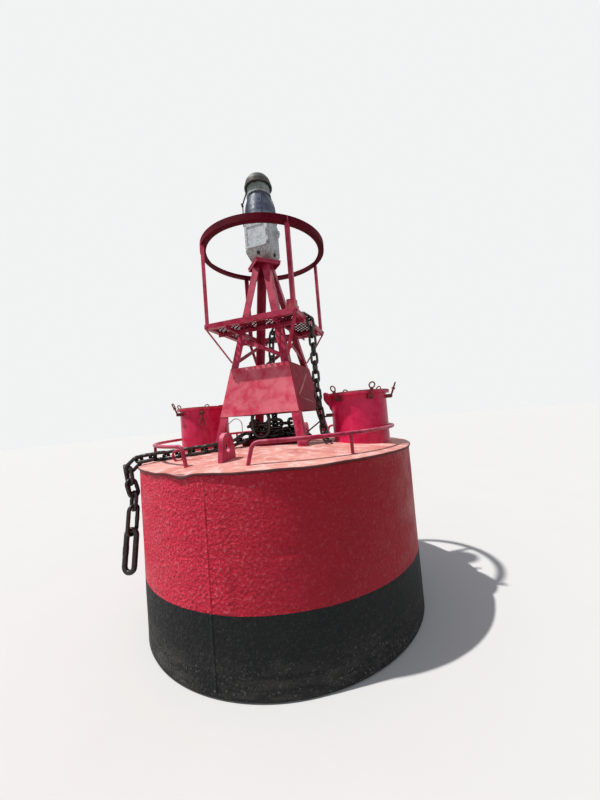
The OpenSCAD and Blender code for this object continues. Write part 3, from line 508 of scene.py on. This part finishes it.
def piece(name, bm, look, degrees, replaces=()):
    """Makes an object of the mesh, riding on the fixed body in the place of CAD nodes if any."""
    bmesh.ops.recalc_face_normals(bm, faces=bm.faces)
    smooth_by_angle(bm, degrees)
    mesh = bpy.data.meshes.new(name)
    bm.to_mesh(mesh)
    bm.free()
    obj = bpy.data.objects.new(name, mesh)
    bpy.context.scene.collection.objects.link(obj)
    mesh.materials.append(MATS[look])
    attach(obj, "buoy")
    if replaces:
        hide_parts(*replaces)


def skin(bm, rings, closed=False, cap=False):
    """Quads between rings of points. closed joins the last ring to the first, and cap fills
    the first and last rings."""
    verts = [[bm.verts.new(p) for p in ring] for ring in rings]
    count = len(verts[0])
    for i in range(len(verts) if closed else len(verts) - 1):
        a, b = verts[i], verts[(i + 1) % len(verts)]
        for k in range(count):
            k2 = (k + 1) % count
            bm.faces.new((a[k], a[k2], b[k2], b[k]))
    if cap:
        bm.faces.new(verts[0])
        bm.faces.new(list(reversed(verts[-1])))


def on_ring(radius, turn, z):
    """A point at a turn, in degrees from the front towards +X."""
    a = math.radians(turn)
    return Vector((radius * math.sin(a), -radius * math.cos(a), z))


# The deck's section, as shares of the hull's radius and of the rise
DECK_ARC = ((0, 1), (0.2, 0.96), (0.4, 0.84), (0.55, 0.6975), (0.7, 0.51), (0.85, 0.2775), (1, 0))
DECK_RISE = 0.060


def deck_z(radius):
    """Height of the deck's upper face at a distance from the axis."""
    q = min(radius / HULL_R, 1.0)
    for (q0, s0), (q1, s1) in zip(DECK_ARC, DECK_ARC[1:]):
        if q <= q1:
            return HULL_H + DECK_RISE * (s0 + (s1 - s0) * (q - q0) / (q1 - q0))
    return HULL_H


# Hull: slightly uneven plate, with a rounded weld down each seam and a shallow crease

# Turns of the seams, and how close to one a plain column of points may come, in degrees
SEAMS = (0.2, 122.0, 182.0, 300.0)
SEAM_CLEAR = 0.65
# The weld's section: degrees from the seam, and height in millimetres
BEAD = ((-0.34, 0.0), (-0.22, 2.6), (-0.11, 3.8), (0.0, 4.0), (0.11, 3.2), (0.22, 1.0),
        (0.34, -1.6), (0.45, -1.2), (0.60, 0.0))
# The crease: its turn and height, its reach in degrees and in metres, its rise for each
# degree, and its depth
CREASE_TURN, CREASE_Z = 24.0, 0.742
CREASE_WIDE, CREASE_HIGH = 6.0, 0.009
CREASE_RISE, CREASE_DEPTH = 0.0012, 0.0034
# How far the plate lies inside the CAD shell, so that the welds stay in its box
SHELL_INSET = 0.0016
# The chamfer at the foot, the plate's upper edge and the number of rows of quads between
FOOT_CHAMFER = 0.012
SHELL_TOP = HULL_H - 0.0090
SHELL_ROWS = 56


def shell_radius(turn, bead, z):
    place = on_ring(1.0, turn, z)
    wave = 0.0018 * noise.noise(place * 2.6) + 0.0009 * noise.noise(place * 8.0)
    from_foot = min(1.0, max(0.0, (z - 0.02) / 0.03))
    from_top = min(1.0, max(0.0, (SHELL_TOP - z) / 0.02))
    uneven = 0.80 + 0.35 * noise.noise(place * 30.0)
    off = turn - CREASE_TURN
    rise = z - CREASE_Z - CREASE_RISE * off
    crease = CREASE_DEPTH * math.exp(-(off / CREASE_WIDE) ** 2 - (rise / CREASE_HIGH) ** 2)
    return HULL_R - SHELL_INSET + from_foot * from_top * (wave + bead * uneven - crease)


def hull_skin():
    turns = {float(k): 0.0 for k in range(360) if all(abs(k - s) > SEAM_CLEAR for s in SEAMS)}
    for seam in SEAMS:
        for off, height in BEAD:
            turns[(seam + off) % 360.0] = height / 1000
    turns = sorted(turns.items())
    levels = [FOOT_CHAMFER + (SHELL_TOP - FOOT_CHAMFER) * k / SHELL_ROWS
              for k in range(SHELL_ROWS + 1)]
    rings = [[on_ring(HULL_R - FOOT_CHAMFER - SHELL_INSET, t, 0.0) for t, _ in turns]]
    rings += [[on_ring(shell_radius(t, b, z), t, z) for t, b in turns] for z in levels]
    rings.append([on_ring(HULL_R - 0.030, t, HULL_H - 0.0080) for t, _ in turns])
    bm = bmesh.new()
    skin(bm, rings, cap=True)
    piece("hull_skin", bm, "hull", 60, replaces=("hull_shell",))


hull_skin()


# Deck plate, with a wavy lip that is bent down in places

# Where the lip is bent: its turn and reach in degrees, and how far down
BENDS = ((-8.0, 4.0, 0.024), (-21.0, 3.0, 0.006), (9.0, 5.0, 0.004), (33.0, 6.0, 0.005),
         (78.0, 8.0, 0.006), (131.0, 5.0, 0.010), (171.0, 6.0, 0.005), (223.0, 7.0, 0.008),
         (287.0, 5.0, 0.006))
DECK_STEPS = 300
# Radii of the rings of points from the coaming outwards
DECK_RINGS = (0.29, 0.36, 0.43, 0.51, 0.587, 0.67, 0.747, 0.83, 0.907, 0.97, 1.02)
LIP_R = HULL_R + DECK_LIP
# The lip's section: radius, share of the droop, depth below the deck, and whether it sways
LIP_RINGS = ((1.046, 0.10, 0.0, 0), (1.062, 0.35, 0.0, 0), (1.070, 0.65, 0.0, 0),
             (LIP_R - 0.0022, 0.92, 0.0006, 1), (LIP_R, 1.0, 0.003, 1), (LIP_R, 1.0, 0.0100, 1),
             (LIP_R - 0.0022, 1.0, 0.0124, 1), (1.0665, 0.9, 0.0124, 0))


def droop(turn):
    """How far the lip hangs below the deck's edge."""
    place = on_ring(1.0, turn, 0.0)
    d = 0.0022 + 0.0030 * noise.noise(place * 5.0) + 0.0014 * noise.noise(place * 21.0)
    for at, width, depth in BENDS:
        off = (turn - at + 180.0) % 360.0 - 180.0
        d += depth * math.exp(-(off / width) ** 2)
    return max(0.0, d)


def sway(turn):
    """How far the lip stands out."""
    return -0.0012 + 0.0012 * noise.noise(on_ring(1.0, turn, 3.0) * 9.0)


def deck_skin():
    bm = bmesh.new()
    steps = [360.0 * k / DECK_STEPS for k in range(DECK_STEPS)]
    rings = []
    for radius in DECK_RINGS:
        rings.append([on_ring(radius, t, deck_z(radius)
                              + 0.0008 * noise.noise(on_ring(radius, t, 0.0) * 6.0))
                      for t in steps])
    for radius, share, under, sways in LIP_RINGS:
        z = deck_z(min(radius, HULL_R))
        rings.append([on_ring(radius + sways * sway(t), t, z - share * droop(t) - under)
                      for t in steps])
    skin(bm, rings)
    piece("deck_sheet", bm, "deck", 32, replaces=("deck_plate",))


deck_skin()


# Chain, in millimetres: the links are laid along nearly the same routes as in the part's source

# A size is the pitch, the bar's diameter, the link's width and the slack between links.
# The links at the tower are the light ones.
HEAVY = (98.0, 26.0, 90.0, 5.0)
LIGHT = (76.0, 20.0, 68.0, 4.0)
EDGE_R = 1077
EDGE_Z = 1185
COAMING_Z = 1295.0
PLATFORM_Z = 2238.0
PLATFORM_HALF = 390.0
UP = Vector((0, 0, 1))
ACROSS = Vector((0, 1, 0))
# Angles round a quarter bend
QUARTER = [math.radians(22.5 * k) for k in range(5)]


def lie_of(size):
    """Height of a link's middle over what it lies on, turned half way over."""
    _, bar, width, _ = size
    return (width - bar) / 2 * math.sin(math.radians(45)) + bar / 2


LIE = lie_of(HEAVY)


def mm_deck(x, y, lie=LIE):
    return Vector((x, y, deck_z(math.hypot(x, y) / 1000) * 1000 + lie + 0.3))


def path_at(path, s):
    for a, b in zip(path, path[1:]):
        run = (b - a).length
        if s <= run or b is path[-1]:
            return a + (b - a) * (s / run)
        s -= run


def chain_links(path, first, last, roll_0, roll_1, side, size=HEAVY):
    """Links from number first to before last: (place, way, side, roll, pitch, bar, width)."""
    links = []
    side = Vector(side)
    pitch, bar, width, slack = size
    step = pitch - slack
    for i in range(last):
        a, b = path_at(path, i * step), path_at(path, (i + 1) * step)
        way = (b - a).normalized()
        side = (side - way * side.dot(way)).normalized()
        if i >= first:
            roll = roll_0 + (roll_1 - roll_0) * (i - first) / max(1, last - 1 - first)
            turn = roll + (i % 2) * 90
            links.append(((a + b) / 2, way, side.copy(), turn, pitch, bar, width))
    return links


def over_side_links():
    """Across the deck and over its edge, with two larger end links and a long one that lies
    against the chain."""
    turn = math.radians(-47)
    out = Vector((math.sin(turn), -math.cos(turn), 0))
    away = Vector((-math.cos(turn), -math.sin(turn), 0))
    hang = EDGE_R + 4 + LIE
    bend = 110.0
    bend_r, bend_z = hang + 27 - bend, EDGE_Z + 52 - bend
    path = [Vector((-144, -239, COAMING_Z + 30)), mm_deck(-235, -385), mm_deck(-330, -480),
            mm_deck(-470, -562), mm_deck(-620, -615)]
    path += [out * (bend_r + bend * math.sin(a)) + UP * (bend_z + bend * math.cos(a))
             for a in QUARTER]
    path += [out * (hang - 4) + UP * 1020, out * (hang - 10) + UP * 960,
             out * (hang + 22) + UP * 800]
    count = 13
    links = chain_links(path, 0, count, 135, 150, (0.85, -0.53, 0))

    end = path_at(path, count * (HEAVY[0] - HEAVY[3]))
    lean = (UP - out * 0.11).normalized()
    second, last = 172.0, 252.0
    links.append((end - lean * (second / 2 - 1), lean, ACROSS, -7, second, 28, 98))
    links.append((end - lean * (second + last / 2 - 2), lean, ACROSS, 98, last, 38, 114))
    beside = out * (hang + 36) + away * 46 + UP * 1086
    links.append((beside, (UP + out * 0.12).normalized(), away, 4, 190, 24, 92))
    return links


def heap_links():
    """A loose coil on the coaming, a second turn on the first, and a large link beside it."""
    steps, arc, start = 60, 700.0, 215
    middle_x, middle_y = -22, -20
    # Where along the coil it begins to climb on its first turn, and over how far, in degrees
    climb_at, climb = 250, 105
    path = []
    for i in range(steps + 1):
        a = arc * i / steps
        radius = 186 - 4 * math.sin(math.radians(a))
        done = min(1, max(0, (a - climb_at) / climb))
        lift = (1 - math.cos(math.radians(180 * done))) / 2
        ripple = 4 * lift * math.sin(math.radians(a * 2))
        t = math.radians(a + start)
        path.append(Vector((middle_x + radius * math.cos(t), middle_y + radius * math.sin(t),
                            COAMING_Z + LIE + lift * (2 * LIE + 2) + ripple)))
    links = chain_links(path, 0, 18, 45, 45, (1, 0, 0))
    links.append((Vector((-17, -264, COAMING_Z + 119.7)), UP, ACROSS, 90, 190, 28, 172))
    return links


def tower_path():
    """Up inside the tower, over the platform's rim and down outside it to the deck."""
    lie = lie_of(LIGHT)
    rim_bend, foot_bend = 75, 130
    foot_x, foot_y = 0.42, -0.908
    path = [Vector(p) for p in (
        (-12, 2, COAMING_Z + 34), (-12, 2, 1560), (2, 0, 1890), (10, -2, 2060), (18, -6, 2130),
        (40, -16, 2190), (84, -34, 2238), (140, -53, 2260), (205, -72, 2266))]
    path += [Vector((PLATFORM_HALF + lie + 1 - rim_bend * (1 - math.sin(a)),
                     -112 - 6 * math.sin(a),
                     PLATFORM_Z + lie + 1 - rim_bend * (1 - math.cos(a)))) for a in QUARTER]
    path += [Vector(p) for p in ((419, -116, 2060), (420, -113, 1880), (421, -109, 1650),
                                 (428, -108, 1500))]
    path += [Vector((442 + foot_bend * (1 - math.cos(a)) * foot_x,
                     -109 + foot_bend * (1 - math.cos(a)) * foot_y,
                     mm_deck(500, -240, lie).z + foot_bend * (1 - math.sin(a))))
             for a in QUARTER]
    path.append(mm_deck(540, -330, lie))
    return path


# Angles round each end of a link, and the number of sides of its bar
END_ARC = range(-90, 91, 18)
BAR_SIDES = 12
# Stations down a link's two sides: place along it, and thickness, with the weld on one side
WELD_SIDE = ((0.35, 1.0), (0.12, 1.10), (-0.12, 1.10), (-0.35, 1.0))
PLAIN_SIDE = ((-0.4, 1.0), (0.0, 1.0), (0.4, 1.0))


def link_mesh(bm, place, way, side, roll, pitch, bar, width):
    """A round bar swept round a long ring, thicker at the weld in the middle of one side."""
    r = math.radians(roll)
    across = side * math.cos(r) + way.cross(side) * math.sin(r)
    flat = way.cross(across)
    arc = (width - bar) / 2
    at = (pitch + bar) / 2 - arc
    line = [(1, a, 1.0) for a in END_ARC] + [(s, 90, thick) for s, thick in WELD_SIDE]
    line += [(-1, a + 180, 1.0) for a in END_ARC] + [(s, 270, thick) for s, thick in PLAIN_SIDE]
    rings = []
    for share, angle, thick in line:
        a = math.radians(angle)
        outward = way * math.cos(a) + across * math.sin(a)
        middle = place + way * (share * at) + outward * arc
        ring = []
        for k in range(BAR_SIDES):
            f = 2 * math.pi * k / BAR_SIDES
            radial = outward * math.cos(f) + flat * math.sin(f)
            ring.append((middle + radial * (bar / 2 * thick)) / 1000)
        rings.append(ring)
    skin(bm, rings, closed=True)


TOWER = tower_path()
TOWER_SIDE = (0, -1, 0)
# Number of links inside the tower, and in all
INSIDE = 13
TOWER_LINKS = int(sum((b - a).length for a, b in zip(TOWER, TOWER[1:])) / (LIGHT[0] - LIGHT[3]))
CHAINS = (
    ("over_side_links", over_side_links(), "chain_over_side"),
    ("heap_links", heap_links(), "chain_heap"),
    ("inside_tower_links", chain_links(TOWER, 0, INSIDE, 75, 60, TOWER_SIDE, LIGHT),
     "chain_inside_tower"),
    ("outside_tower_links", chain_links(TOWER, INSIDE, TOWER_LINKS, 45, 20, TOWER_SIDE, LIGHT),
     "chain_outside_tower"),
)
for chain_name, chain, chain_node in CHAINS:
    chain_bm = bmesh.new()
    for link in chain:
        link_mesh(chain_bm, *link)
    piece(chain_name, chain_bm, "chain", 60, replaces=(chain_node,))


# Bolts and plugs

# Distance of the leg's corner from the axis, along X and Y, at its foot and its head
LEG_FOOT, LEG_HEAD = 0.385, 0.068
# Heights at which those distances are
LEG_LOW, LEG_TOP = 1.227, 2.802
LEG_LEAN = (LEG_FOOT - LEG_HEAD) / (LEG_TOP - LEG_LOW)


def leg_at(z):
    return LEG_FOOT - LEG_LEAN * (z - LEG_LOW)


def turned(bm, at, normal, profile, sides, spin=0.0):
    """A small turned or hexagonal body: profile lists (radius, height) out along the normal."""
    n = Vector(normal).normalized()
    a = n.orthogonal().normalized()
    b = n.cross(a)
    rings = []
    for radius, height in profile:
        rings.append([Vector(at) + n * height + (a * math.cos(t) + b * math.sin(t)) * radius
                      for t in (2 * math.pi * (k + spin) / sides for k in range(sides))])
    skin(bm, rings, cap=True)


def hex_bolt(bm, at, normal, across, height, spin):
    """A washer and a hexagonal head with a chamfered top."""
    washer = across * 0.80
    turned(bm, at, normal, ((washer, -0.002), (washer, 0.0018), (washer - 0.001, 0.0026)), 20)
    head = across / 2 / math.cos(math.pi / 6)
    turned(bm, at, normal, ((head, 0.002), (head, height * 0.82), (head * 0.86, height)), 6, spin)


def quarter_turns(x, y, z, nx, ny, nz):
    """The place and normal in each of the four quarters round the axis."""
    for k in range(4):
        m = Matrix.Rotation(math.radians(90 * k), 3, "Z")
        yield m @ Vector((x, y, z)), m @ Vector((nx, ny, nz))


def tower_bolts():
    """Two bolts in each flange of the legs' feet, and a plug above them in one flange."""
    bm = bmesh.new()
    across, height = 0.019, 0.010
    z = 1.262
    corner = leg_at(z)
    for inwards in (0.017, 0.042):
        for at, n in quarter_turns(corner - inwards, -corner, z, 0, -1, LEG_LEAN):
            hex_bolt(bm, at, n, across, height, at.x)
        for at, n in quarter_turns(corner, -corner + inwards, z, 1, 0, LEG_LEAN):
            hex_bolt(bm, at, n, across, height, at.y)
    z = 1.345
    corner = leg_at(z)
    plug = ((0.010, -0.002), (0.010, 0.0012), (0.0085, 0.0016))
    for at, n in quarter_turns(corner - 0.041, -corner, z, 0, -1, LEG_LEAN):
        turned(bm, at, n, plug, 20)
    piece("leg_bolts", bm, "frame", 35)


def post_bolts():
    """A bolt through each flange of the guard posts, in the platform's rim."""
    bm = bmesh.new()
    across, height = 0.017, 0.009
    rim, post, z = PLATFORM_HALF / 1000, 0.372, 2.219
    for at, n in quarter_turns(post, -rim, z, 0, -1, 0):
        hex_bolt(bm, at, n, across, height, 0.3)
    for at, n in quarter_turns(rim, -post, z, 1, 0, 0):
        hex_bolt(bm, at, n, across, height, 0.1)
    piece("post_bolts", bm, "frame", 35)


def lantern_bolts():
    """Dark bolts in the lantern's lower taper."""
    bm = bmesh.new()
    foot_half, foot_z, taper = 0.078, 2.811, 0.42
    z = 2.874
    half = foot_half + (z - foot_z) * taper
    for at, n in quarter_turns(0.002, -half, z, 0, -1, -taper):
        hex_bolt(bm, at, n, 0.021, 0.012, 0.2)
    piece("lantern_bolts", bm, "black", 35)


tower_bolts()
post_bolts()
lantern_bolts()


# Two sharp creases across the right-hand plate, in paler paint as a painted highlight of the sun
# on their ridges

# Start and end of each as (y, z), and half its width
CREASES = (((0.119, 1.812), (-0.250, 1.602), 0.011), ((-0.232, 1.597), (0.106, 1.560), 0.007))
CREASE_STEPS = 12
PLATE_OUT = 0.005


def plate_crease():
    bm = bmesh.new()
    n = Vector((1, 0, LEG_LEAN)).normalized()
    for (y0, z0), (y1, z1), half in CREASES:
        along = Vector((0, y1 - y0, z1 - z0)).normalized()
        up = n.cross(along).normalized()
        if up.z < 0:
            up = -up
        rings = []
        for k in range(CREASE_STEPS + 1):
            t = k / CREASE_STEPS
            y = y0 + (y1 - y0) * t
            z = z0 + (z1 - z0) * t + 0.004 * noise.noise(Vector((y * 9, 0.3, 1.0)))
            fade = math.sin(math.pi * min(1.0, 0.10 + 0.86 * t)) ** 0.35
            w = half * fade
            p = Vector((leg_at(z) + PLATE_OUT, y, z))
            rings.append([p - up * w - n * 0.001, p + up * w * 0.35 + n * 0.0055 * fade,
                          p + up * w * 1.1 - n * 0.001])
        skin(bm, rings, cap=True)
    # The paler faded paint stands for sunlight on the ridges: a painted highlight
    piece("plate_crease", bm, "faded", 20)


plate_crease()


# Floor, world, lights and camera

FLOOR_HALF = 60.0
# The floor and the world as they are seen, and as they light the buoy
FLOOR_SEEN = ((0.655, 0.655, 0.650), (0.680, 0.680, 0.675))
FLOOR_LIT = (0.25, 0.25, 0.235)
WORLD_SEEN, WORLD_SEEN_STRENGTH = (0.885, 0.890, 0.895, 1.0), 1.0
WORLD_LIT, WORLD_LIT_STRENGTH = (0.86, 0.91, 1.0, 1.0), 0.36
# Direction to the sun, and the widths of the two lights
SUN = Vector((-1.2, -0.7, 2.92)).normalized()
SUN_ANGLE = math.radians(1)
FILL_SIZE = 4.0
# The camera's place, its axes to the right, up and back, and its focal length in pixels of
# a picture 800 pixels high
EYE = Vector((1.0973, -2.5375, 1.4412))
EYE_RIGHT = Vector((0.94211, 0.32536, -0.08108))
EYE_UP = Vector((0.09390, -0.02386, 0.99530))
EYE_BACK = Vector((0.32189, -0.94529, -0.05303))
SENSOR, FOCAL, PICTURE = 36.0, 318.48, 800.0


def stage():
    mesh = bpy.data.meshes.new("floor")
    s = FLOOR_HALF
    mesh.from_pydata([(-s, -s, 0), (s, -s, 0), (s, s, 0), (-s, s, 0)], [], [(0, 1, 2, 3)])
    floor = bpy.data.objects.new("floor", mesh)
    bpy.context.scene.collection.objects.link(floor)
    g = Graph("floor_mat")
    pale = g.mix(*FLOOR_SEEN, g.noise(1.5, 3.0))
    path = g.node("LightPath")
    seen = g.math("MAXIMUM", path.outputs["Is Camera Ray"], path.outputs["Is Glossy Ray"])
    seen = g.math("MAXIMUM", seen, path.outputs["Is Transmission Ray"])
    mesh.materials.append(g.finish(g.mix(FLOOR_LIT, pale, seen), 0.9))


def world():
    w = bpy.data.worlds.new("studio")
    w.use_nodes = True
    bpy.context.scene.world = w
    t = w.node_tree
    t.nodes.clear()
    out = t.nodes.new("ShaderNodeOutputWorld")
    soft = t.nodes.new("ShaderNodeBackground")
    soft.inputs["Color"].default_value = WORLD_LIT
    soft.inputs["Strength"].default_value = WORLD_LIT_STRENGTH
    seen = t.nodes.new("ShaderNodeBackground")
    seen.inputs["Color"].default_value = WORLD_SEEN
    seen.inputs["Strength"].default_value = WORLD_SEEN_STRENGTH
    path = t.nodes.new("ShaderNodeLightPath")
    seen_by = path.outputs["Is Camera Ray"]
    for ray in ("Is Transmission Ray", "Is Glossy Ray"):
        either = t.nodes.new("ShaderNodeMath")
        either.operation = "MAXIMUM"
        t.links.new(seen_by, either.inputs[0])
        t.links.new(path.outputs[ray], either.inputs[1])
        seen_by = either.outputs[0]
    mix = t.nodes.new("ShaderNodeMixShader")
    t.links.new(seen_by, mix.inputs[0])
    t.links.new(soft.outputs[0], mix.inputs[1])
    t.links.new(seen.outputs[0], mix.inputs[2])
    t.links.new(mix.outputs[0], out.inputs["Surface"])


def light(name, kind, place, aim, energy, size, color):
    data = bpy.data.lights.new(name, kind)
    data.energy = energy
    data.color = color
    if kind == "AREA":
        data.size = size
    else:
        data.angle = size
    lamp = bpy.data.objects.new(name, data)
    lamp.location = place
    lamp.rotation_euler = (Vector(aim) - Vector(place)).to_track_quat("-Z", "Y").to_euler()
    bpy.context.scene.collection.objects.link(lamp)


def camera():
    data = bpy.data.cameras.new("camera")
    data.sensor_fit = "AUTO"
    data.sensor_width = SENSOR
    data.lens = SENSOR * FOCAL / PICTURE
    data.clip_start = 0.05
    data.clip_end = 200.0
    cam = bpy.data.objects.new("camera", data)
    m = Matrix((EYE_RIGHT, EYE_UP, EYE_BACK)).transposed().to_4x4()
    m.translation = EYE
    cam.matrix_world = m
    bpy.context.scene.collection.objects.link(cam)
    bpy.context.scene.camera = cam


stage()
world()
light("key", "SUN", SUN * 10, (0, 0, 0), 3.5, SUN_ANGLE, (1.0, 0.975, 0.94))
light("fill", "AREA", (4.5, -4.5, 3.2), (0, 0, 1.4), 25, FILL_SIZE, (0.95, 0.97, 1.0))
camera()
bpy.context.scene.view_settings.view_transform = "Standard"
